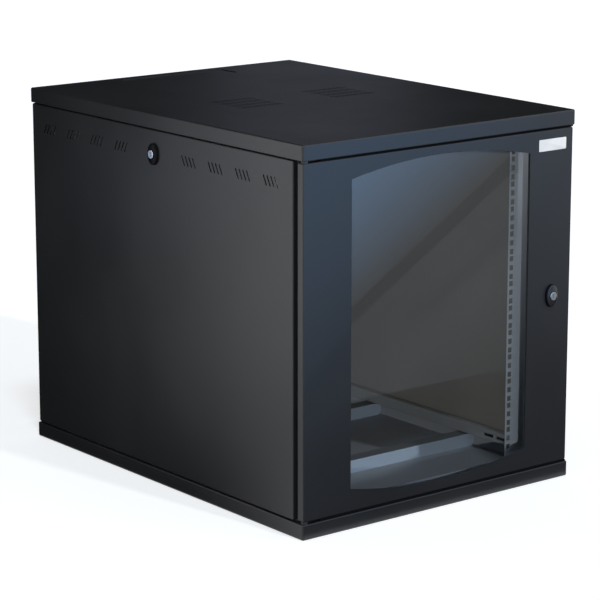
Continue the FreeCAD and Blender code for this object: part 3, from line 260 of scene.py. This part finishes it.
def plateWhite(name):
    build = Shader(bpy.data.materials.new(name))
    grain = build.noise(900, 2, 0.5)
    cloud = build.noise(40, 2, 0.5)
    base = build.blend(cloud, (0.56, 0.56, 0.56), (0.62, 0.62, 0.62))
    rough = build.span(cloud * 0.5 + grain * 0.5, 0.3, 0.7, 0.34, 0.44)
    surface = build.principled(Base_Color=base, Roughness=rough,
                               Normal=build.bump(grain, 0.05, 0.0001))
    return build.finish(surface)


# clear from behind, so that a ray passes one mirror and not two
def tintedGlass(name):
    pane = {"tint": (0.925, 0.94, 0.95), "gloss": 0.012, "bend": 1.5, "mirror": 1.7}
    build = Shader(bpy.data.materials.new(name))
    smear = build.noise(9, 3, 0.6)
    through = build.node("ShaderNodeBsdfTransparent", inputs={"Color": (*pane["tint"], 1)})
    mirror = build.node("ShaderNodeBsdfGlossy", inputs={
        "Color": (1, 1, 1, 1), "Roughness": build.span(smear, 0.3, 0.7, pane["gloss"], pane["gloss"] * 2)})
    edge = build.node("ShaderNodeFresnel", inputs={"IOR": pane["bend"]})
    behind = build.node("ShaderNodeNewGeometry", output="Backfacing")
    share = edge * (1 - behind) * pane["mirror"]
    return build.finish(build.node("ShaderNodeMixShader", inputs={0: share, 1: through, 2: mirror}))


worldShader()
print("room done")

# the finish of each material slot
finishes = {
    "black_powder_coat": powderCoat("black satin powder coat", (0.0085, 0.0088, 0.0096), gloss=0.38),
    "grey_steel": greySteel("grey steel", (0.34, 0.38, 0.43), gloss=0.45),
    "tinted_glass": tintedGlass("tinted safety glass"),
    "foam_seal": darkPlastic("black cell foam", (0.012, 0.012, 0.012), gloss=0.85, scale=700),
    "zinc": zincPlate("zinc plate"),
    "nylon": darkPlastic("black nylon", (0.02, 0.02, 0.021), gloss=0.5, scale=900),
    "black_lock": lockGloss("gloss black lock"),
    "chrome": chrome("polished chrome"),
}
# paler coats of the faces that look inwards: painted light, standing in for the light that reaches inside
innerPaintedLight = paintedLightCoat("pale inner coat, painted light", (0.190, 0.176, 0.158), gloss=0.6)
trayPaintedLight = paintedLightCoat("pale tray coat, painted light", (0.24, 0.245, 0.255), gloss=0.6)
# painted light: a paler coat for the sill, the header and the pane's retainers, which lie in shade
sillPaintedLight = paintedLightCoat("pale sill coat, painted light", (0.09, 0.098, 0.11), gloss=0.6)
# greys of the pieces inside
railSteel = greySteel("rail steel", (0.54, 0.585, 0.64), gloss=0.42)
barSteel = greySteel("bar steel", (0.33, 0.38, 0.44), gloss=0.45)
# painted shade: a darker copy of the bar steel for the bars' upper faces
barTopPaintedShade = greySteel("bar steel, upper faces, painted shade", (0.15, 0.153, 0.158), gloss=0.5)
channelSteel = greySteel("channel steel", (0.29, 0.288, 0.285), gloss=0.45)
darkSteel = darkPlastic("blackened steel", (0.015, 0.015, 0.016), gloss=0.4, scale=900)
# foams, and the painted shade of slot walls and lock rims
greyFoam = darkPlastic("grey cell foam", (0.06, 0.062, 0.066), gloss=0.85, scale=700)
sealFoam = darkPlastic("black seal foam", (0.003, 0.003, 0.0035), gloss=0.9, scale=700, shine=0.02)
slotPaintedShade = darkPlastic("slot wall, painted shade", (0.002, 0.002, 0.002), gloss=0.9, scale=900, shine=0.02)
lockRimPaintedShade = darkPlastic("black lock rim, painted shade", (0.004, 0.004, 0.005), gloss=0.35, scale=900, shine=0.06)
# nodes whose finish differs from their slot's
ownFinish = {
    "glass_gasket": greyFoam, "glass_retainer_left": sillPaintedLight, "glass_retainer_right": sillPaintedLight,
    "hinge_pin_upper": darkSteel, "hinge_pin_lower": darkSteel, "cable_plate_screws": darkSteel,
    "front_sill": sillPaintedLight, "front_header": sillPaintedLight,
    "rack_rail_left": railSteel, "rack_rail_right": railSteel,
    "floor_bar_front": barSteel, "floor_bar_rear": barSteel,
    "lower_channel_left": channelSteel, "lower_channel_right": channelSteel,
    "upper_channel_left": channelSteel, "upper_channel_right": channelSteel,
}
slots = {entry["node"]: entry["material_slot"] for entry in frame["record"]["subparts"]}
# panels' inner faces: along which axis they look, which way, and how far out they may lie
innerSides = {
    "side_panel_left": (0, 1, 0.2976), "side_panel_right": (0, -1, 0.2976), "rear_panel": (1, -1, 0.3992),
}
# the caps' inner faces: how far out they lie, the sheet's thickness left out, and where the lips begin
capInside = {"halfWidth": 0.2987, "halfDepth": 0.3987, "sheet": 0.0012, "lip": 0.0255}
sharpAngle = math.radians(32)


# gives one more finish to the faces that pass a test
def paintFaces(mesh, finish, wears):
    mesh.materials.append(finish)
    for face in mesh.polygons:
        if wears(face.normal, face.center):
            face.material_index = len(mesh.materials) - 1


def insideCap(normal, center):
    x, y, z = center
    below, above = z - cadLow[2], cadHigh[2] - z
    within = abs(x) < capInside["halfWidth"] and abs(y) < capInside["halfDepth"]
    lip = below > capInside["lip"] and above > capInside["lip"]
    return within and min(below, above) > capInside["sheet"] and not lip


def dressNode(name, node):
    mesh = node.data
    mesh.materials.clear()
    mesh.materials.append(ownFinish.get(name) or finishes[slots[name]])
    if "custom_normal" in mesh.attributes:
        mesh.attributes.remove(mesh.attributes["custom_normal"])
    mesh.shade_smooth()
    mesh.set_sharp_from_angle(angle=sharpAngle)
    # painted light: the inward faces of the panels, the tray and the cover take the paler coats
    if name in innerSides:
        axis, way, limit = innerSides[name]
        paintFaces(mesh, innerPaintedLight, lambda normal, center:
                   normal[axis] * way > 0.9 and abs(center[axis]) < limit)
    # painted shade: the floor bars' upper faces take the darker copy of their steel
    elif name.startswith("floor_bar"):
        paintFaces(mesh, barTopPaintedShade, lambda normal, center: normal.z > 0.7)
    elif name == "base_tray":
        paintFaces(mesh, trayPaintedLight, insideCap)
    elif name == "top_cover":
        paintFaces(mesh, innerPaintedLight, insideCap)


for name, node in nodes.items():
    dressNode(name, node)

# the walls of the cover's slots and the side panels' vents lie in deep shade, painted on them as a near-black
# finish
grille = {"sheet": 0.0016, "halfWidth": 0.25, "halfDepth": 0.2}
vents = {"height": 0.588, "rise": 0.02, "outside": 0.2965, "middle": 0.0125, "first": 0.06, "last": 0.36}
flatness = 0.3     # a wall's normal leans less than this towards the sheet's own


def grilleWall(normal, center):
    return (abs(normal.z) < flatness and cadHigh[2] - grille["sheet"] < center.z
            and abs(center.x) < grille["halfWidth"] and abs(center.y) < grille["halfDepth"])


def ventWall(normal, center):
    return (abs(normal.x) < flatness and abs(center.z - vents["height"]) < vents["rise"]
            and abs(center.x) > vents["outside"]
            and vents["first"] < abs(center.y - vents["middle"]) < vents["last"])


paintFaces(nodes["top_cover"].data, slotPaintedShade, grilleWall)
for name in ("side_panel_left", "side_panel_right"):
    paintFaces(nodes[name].data, slotPaintedShade, ventWall)
print("finishes done:", len(finishes))


# a piece of the scene's own: it rides on a body and wears the finish it is given
def meshPiece(name, vertices, faces, finish, body, bevel=0.0, sharp=35):
    mesh = bpy.data.meshes.new(name)
    mesh.from_pydata(vertices, [], faces)
    build = bmesh.new()
    build.from_mesh(mesh)
    bmesh.ops.recalc_face_normals(build, faces=build.faces)
    build.to_mesh(mesh)
    build.free()
    piece = bpy.data.objects.new(name, mesh)
    scene.collection.objects.link(piece)
    mesh.materials.append(finish)
    if bevel:
        rounding = piece.modifiers.new("edges", "BEVEL")
        rounding.width = bevel
        rounding.segments = 3
        rounding.limit_method = "ANGLE"
    mesh.shade_smooth()
    mesh.set_sharp_from_angle(angle=math.radians(sharp))
    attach(piece, body)
    return piece


# the faces between two rings of points, each known by its first point
def ringFaces(first, second, count):
    faces = []
    for column in range(count):
        beside = (column + 1) % count
        faces.append((first + column, first + beside, second + beside, second + column))
    return faces


# joins rings of equal count one after the other, and the last to the first
def closedRings(rings):
    vertices = [point for ring in rings for point in ring]
    count = len(rings[0])
    faces = []
    for row in range(len(rings)):
        faces += ringFaces(row * count, (row + 1) % len(rings) * count, count)
    return vertices, faces


# Locks: an oval escutcheon with a crowned face, the collar round the plug and the threaded barrel
lock = {"width": 0.027, "depth": 0.0070, "collar": 0.0088, "collarProud": 0.0006, "bore": 0.0073,
        "barrel": 0.0095, "thread": 0.0011, "threadDepth": 0.00035, "threaded": 0.8, "edge": 0.0002,
        "sides": 72}
# the crowned rim: how far in from the outline, and how far out from the sheet
crown = [(0.0, 0.0), (0.0, 0.0030), (0.0003, 0.0044), (0.0011, 0.0055), (0.0022, 0.0061), (0.0040, 0.0066)]
# each lock's node, body, way out, centre on the sheet's face, and height
locks = {
    "door_lock_escutcheon": ("door_lock_body", "door", (0, -1, 0), (0.252, -0.3975, 0.335), 0.0405),
    "left_lock_escutcheon": ("left_lock_body", "left_panel", (-1, 0, 0), (-0.2982, 0.0125, 0.588), 0.038),
    "right_lock_escutcheon": ("right_lock_body", "right_panel", (1, 0, 0), (0.2982, 0.0125, 0.588), 0.038),
}


def lockShell(name, node, body, outward, centre, height):
    low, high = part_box(node)
    front = lock["depth"] + lock["collarProud"]
    reach = abs((high - low).dot(outward)) - lock["depth"] - lock["collarProud"]
    across = Vector((0, 0, 1)).cross(outward)
    edge, root = lock["edge"], lock["barrel"] - lock["threadDepth"]

    def ring(halfWidth, halfHeight, out):
        points = []
        for number in range(lock["sides"]):
            turn = 2 * math.pi * number / lock["sides"]
            points.append(centre + across * (halfWidth * math.cos(turn)) +
                          Vector((0, 0, halfHeight * math.sin(turn))) + outward * out)
        return points

    def circle(radius, out):
        return ring(radius, radius, out)

    rings = [ring(lock["width"] / 2 - inset, height / 2 - inset, out) for inset, out in crown]
    rings.append(circle(lock["collar"] + 2 * edge, lock["depth"]))
    rings.append(circle(lock["collar"], lock["depth"] + edge))
    rings.append(circle(lock["collar"] - edge, front))
    rings.append(circle(lock["bore"] + edge, front))
    rings.append(circle(lock["bore"], front - edge))
    rings.append(circle(lock["bore"], -reach))
    rings.append(circle(root, -reach))
    for number in range(int(reach * lock["threaded"] / lock["thread"])):
        back = -reach + (number + 0.5) * lock["thread"]
        rings.append(circle(root, back - lock["thread"] * 0.2))
        rings.append(circle(lock["barrel"], back + lock["thread"] * 0.3))
    rings.append(circle(lock["barrel"], 0.0))
    vertices, faces = closedRings(rings)
    piece = meshPiece(name, vertices, faces, finishes["black_lock"], body, sharp=50)
    # painted shade: the rim, and all of a side panel's lock, take a darker and duller finish than the door
    # lock's face
    paintFaces(piece.data, lockRimPaintedShade, lambda normal, center: body != "door" or normal.dot(outward) < 0.75)
    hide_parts(node)


for name, (node, body, outward, centre, height) in locks.items():
    lockShell(name, node, body, Vector(outward), Vector(centre), height)
print("locks done")


# Bare plate near the door's upper corner, where a maker's sign would be
def barePlate():
    plate = {"left": 0.217, "right": 0.2805, "low": 0.5915, "high": 0.612, "doorFace": -0.3975,
             "thickness": 0.0009, "corner": 0.0016, "cornerSteps": 6, "bevel": 0.0003, "straight": 0.7}
    middleX = (plate["left"] + plate["right"]) / 2
    middleZ = (plate["low"] + plate["high"]) / 2
    outline = []
    corners = [(plate["right"], plate["high"], 0), (plate["left"], plate["high"], 90),
               (plate["left"], plate["low"], 180), (plate["right"], plate["low"], 270)]
    for x, z, start in corners:
        centreX = x - math.copysign(plate["corner"], x - middleX)
        centreZ = z - math.copysign(plate["corner"], z - middleZ)
        for step in range(plate["cornerSteps"] + 1):
            turn = math.radians(start + 90 / plate["cornerSteps"] * step)
            outline.append((centreX + plate["corner"] * math.cos(turn),
                            centreZ + plate["corner"] * math.sin(turn)))
    face = plate["doorFace"]
    levels = [(0.0, face), (0.0, face - plate["thickness"] * plate["straight"]),
              (plate["bevel"], face - plate["thickness"])]
    vertices = []
    for inset, y in levels:
        for x, z in outline:
            vertices.append((x - math.copysign(inset, x - middleX), y, z - math.copysign(inset, z - middleZ)))
    count = len(outline)
    faces = [tuple(range(count)), tuple(range(2 * count, 3 * count))]
    for row in range(2):
        faces += ringFaces(row * count, (row + 1) * count, count)
    meshPiece("bare_plate", vertices, faces, plateWhite("white plate"), "door")


barePlate()
print("plate done")

# Foam strips that close the gaps round the door and over the rear panel: low and high corner of each
seals = {
    "lower_door_seal": ((-0.262, -0.3968, 0.0265), (0.2978, -0.3925, 0.0298)),
    "upper_door_seal": ((-0.262, -0.3968, 0.6282), (0.2978, -0.3925, 0.6315)),
    "rear_seal": ((-0.275, 0.3930, 0.6265), (0.275, 0.3965, 0.6318)),
}
sealEdge = 0.0006


def foamStrip(name, low, high):
    vertices = [(x, y, z) for z in (low[2], high[2]) for x, y in
                ((low[0], low[1]), (high[0], low[1]), (high[0], high[1]), (low[0], high[1]))]
    faces = [(0, 1, 2, 3), (4, 5, 6, 7)] + ringFaces(0, 4, 4)
    meshPiece(name, vertices, faces, sealFoam, "cabinet", sealEdge)


for name, (low, high) in seals.items():
    foamStrip(name, low, high)
print("seals done")


# Camera
def placeCamera():
    view = {"spot": (-2.8076, -3.5663, 1.3494), "yaw": 38.312, "pitch": 13.132, "lens": 155.03,
            "sensor": 36, "reach": 200}
    data = bpy.data.cameras.new("camera")
    data.lens = view["lens"]
    data.sensor_width = view["sensor"]
    data.clip_end = view["reach"]
    camera = bpy.data.objects.new("camera", data)
    scene.collection.objects.link(camera)
    yaw = math.radians(view["yaw"])
    pitch = math.radians(view["pitch"])
    ahead = Vector((math.sin(yaw) * math.cos(pitch), math.cos(yaw) * math.cos(pitch), -math.sin(pitch)))
    camera.location = view["spot"]
    camera.rotation_euler = ahead.to_track_quat("-Z", "Y").to_euler()
    scene.camera = camera


placeCamera()
print("camera placed")


# Floor: a wide pale disc that keeps the cabinet's shadow
def studioFloor():
    floor = {"radius": 30.0, "sides": 96, "color": 0.7, "glow": 0.52}
    build = bmesh.new()
    bmesh.ops.create_circle(build, cap_ends=True, radius=floor["radius"], segments=floor["sides"])
    mesh = bpy.data.meshes.new("studio_floor")
    build.to_mesh(mesh)
    build.free()
    disc = bpy.data.objects.new("studio_floor", mesh)
    scene.collection.objects.link(disc)
    shade = Shader(bpy.data.materials.new("pale floor"))
    level = floor["color"]
    paint = shade.principled(Base_Color=(level, level, level, 1), Roughness=0.9,
                             Specular_IOR_Level=0.1)
    clear = shade.node("ShaderNodeEmission", inputs={"Color": (1, 1, 1, 1), "Strength": floor["glow"]})
    lift = shade.node("ShaderNodeAddShader", inputs={0: paint, 1: clear})
    seen = shade.node("ShaderNodeLightPath", output="Is Camera Ray")
    mirrored = shade.node("ShaderNodeLightPath", output="Is Glossy Ray")
    shown = seen.maths("MAXIMUM", seen, mirrored)
    shade.finish(shade.node("ShaderNodeMixShader", inputs={0: shown, 1: paint, 2: lift}))
    mesh.materials.append(shade.owner)


studioFloor()


# Lamps: the way the light goes, its strength, its width in degrees and its colour
lamps = {
    "key_lamp": ((1.0, 1.3, -0.3), 1.15, 0.5, (1.0, 1.0, 1.0)),
    "front_lamp": ((-0.15, 1.0, -0.27), 2.0, 3.0, (0.90, 0.95, 1.0)),
    "high_lamp": ((0.5, 1.0, -2.0), 0.9, 9.0, (0.82, 0.91, 1.0)),
}
thinPieces = ("rack_rail_left", "rack_rail_right", "floor_bar_front", "floor_bar_rear")


def sunLamp(name, direction, strength, angle, color):
    data = bpy.data.lights.new(name, "SUN")
    data.energy = strength
    data.angle = math.radians(angle)
    data.color = color
    lamp = bpy.data.objects.new(name, data)
    scene.collection.objects.link(lamp)
    lamp.rotation_euler = Vector(direction).to_track_quat("-Z", "Y").to_euler()
    lamp.visible_glossy = False
    return lamp


# these lamps stand for a wide bright room, so thin rails and bars throw no sharp shadow of them
def passThinPieces(lamp):
    group = bpy.data.collections.new(lamp.name + "_passes")
    for name in thinPieces:
        group.objects.link(nodes[name])
    for entry in group.collection_objects:
        entry.light_linking.link_state = "EXCLUDE"
    lamp.light_linking.blocker_collection = group


for name, settings in lamps.items():
    passThinPieces(sunLamp(name, *settings))
print("lamps done")


# A four-cornered sheet of the stage, which neither the camera nor the light on the part sees
def stageSheet(name, corners, finish):
    mesh = bpy.data.meshes.new(name)
    mesh.from_pydata(corners, [], [(0, 1, 2, 3)])
    mesh.uv_layers.new(name="along")
    for loop, place in zip(mesh.uv_layers[0].data, ((0, 0), (1, 0), (1, 1), (0, 1))):
        loop.uv = place
    mesh.materials.append(finish)
    sheet = bpy.data.objects.new(name, mesh)
    scene.collection.objects.link(sheet)
    sheet.visible_camera = False
    sheet.visible_diffuse = False
    sheet.visible_transmission = False
    sheet.visible_shadow = False
    return sheet


# Cards that only gloss sees: each runs from one glow at its first edge to another at its third
def card(name, corners, first, second, start=0.0, end=1.0, curve=1.0):
    shade = Shader(bpy.data.materials.new(name))
    place = shade.node("ShaderNodeTexCoord", output="UV")
    part = shade.node("ShaderNodeSeparateXYZ", inputs={0: place}, output="Y")
    glows = [shade.node("ShaderNodeEmission", inputs={"Color": (*color, 1), "Strength": 1.0})
             for color in (first, second)]
    share = shade.span(part, start, end) ** curve
    stageSheet(name, corners, shade.finish(shade.node("ShaderNodeMixShader", inputs={
        0: share, 1: glows[0], 2: glows[1]})))


def grey(level):
    return (level, level, level)


card("flag_behind", [(-3.0, 3.6, 0.0), (6.0, 1.0, 0.0), (6.0, 1.0, 9.0), (-3.0, 3.6, 9.0)],
     grey(0.0), grey(0.03))
card("rear_floor", [(-3.2, 0.42, 0.002), (3.0, 0.42, 0.002), (3.0, 3.0, 0.002), (-3.2, 3.9, 0.002)],
     grey(0.0), grey(0.02))
card("sky_patch", [(1.3, 2.0, 0.95), (2.0, 2.0, 0.95), (2.0, 2.0, 1.6), (1.3, 2.0, 1.6)],
     (0.12, 0.13, 0.17), (0.30, 0.33, 0.42))
# beside the left side: a dark flag that thins out towards the front, and a floor that brightens forward
card("left_flag", [(-0.42, 1.15, 0.0), (-0.42, 1.15, 1.7), (-1.05, 0.20, 1.7), (-1.05, 0.20, 0.0)],
     grey(0.0), (3.20, 3.23, 3.32), start=0.50, end=0.88, curve=2.0)
card("flag_left_floor",
     [(-0.30, 0.75, 0.003), (-2.70, 3.80, 0.003), (-2.70, 2.50, 0.003), (-0.30, -0.55, 0.003)],
     grey(0.0), (2.60, 2.63, 2.72), start=0.56, end=1.08, curve=2.6)
# faint blue sheet mirrored round the left side's lock
card("side_glow",
     [(-0.755, 0.625, 0.34), (-0.755, 0.625, 0.48), (-0.828, 0.515, 0.48), (-0.828, 0.515, 0.34)],
     (0.95, 1.28, 1.80), (1.20, 1.50, 2.00))
# the floor before the door, dark close to it
card("front_floor", [(-1.2, -0.41, 0.003), (3.0, -0.41, 0.003), (3.0, -3.6, 0.003), (-1.2, -3.6, 0.003)],
     grey(0.0), (1.27, 1.34, 1.50), start=0.14, end=0.78, curve=1.3)
card("corner_floor",
     [(-0.302, -0.405, 0.004), (-0.50, -0.405, 0.004), (-0.50, -0.75, 0.004), (-0.302, -0.75, 0.004)],
     grey(0.2), grey(0.3))
# blue sheet mirrored in the pane's upper left, and a dim one in the rest of it
card("blue_sheet", [(-0.30, -1.0, -0.19), (0.785, -1.0, 0.49), (0.785, -1.0, 1.1), (-0.30, -1.0, 1.1)],
     (0.26, 0.29, 0.33), (0.80, 1.38, 2.25), end=0.45)
card("dim_sheet", [(0.005, -1.0, 0.003), (0.74, -1.0, 0.003), (0.74, -1.0, 0.4618), (0.02, -1.0, 0.0105)],
     (0.08, 0.09, 0.11), (0.26, 0.29, 0.33), end=0.5)


# Thin see-through flags that throw straight bands of faint shade on the inner wall
def bandFlags():
    line = {"foot": (-0.2005, -0.45, 0.3168), "along": (0.3345, 0.0, 0.252)}
    # height above the line, width, share of light held back, and where along it each starts and stops
    bands = [(0.0, 0.0331, 0.34, -0.55, 1.55), (-0.0012, 0.0032, 0.35, -0.55, 1.55),
             (-0.135, 0.060, 0.05, 0.35, 1.6), (-0.125, 0.040, 0.06, 0.45, 1.6),
             (-0.115, 0.020, 0.06, 0.55, 1.6)]
    foot = Vector(line["foot"])
    along = Vector(line["along"])
    for number, (above, width, share, begin, end) in enumerate(bands):
        low = foot + Vector((0, 0, above))
        rise = Vector((0, 0, width))
        corners = [low + along * begin, low + along * end, low + along * end + rise, low + along * begin + rise]
        shade = Shader(bpy.data.materials.new("faint shade %d" % number))
        clear = shade.node("ShaderNodeBsdfTransparent")
        dark = shade.node("ShaderNodeEmission", inputs={"Strength": 0.0})
        patch = shade.span(shade.noise(3, 1, 0.5), 0.0, 1.0, share * 0.9, share * 1.1)
        flag = stageSheet("band_flag_%d" % number, corners, shade.finish(
            shade.node("ShaderNodeMixShader", inputs={0: patch, 1: clear, 2: dark})))
        flag.visible_shadow = True
        flag.visible_glossy = False


bandFlags()
print("studio done")
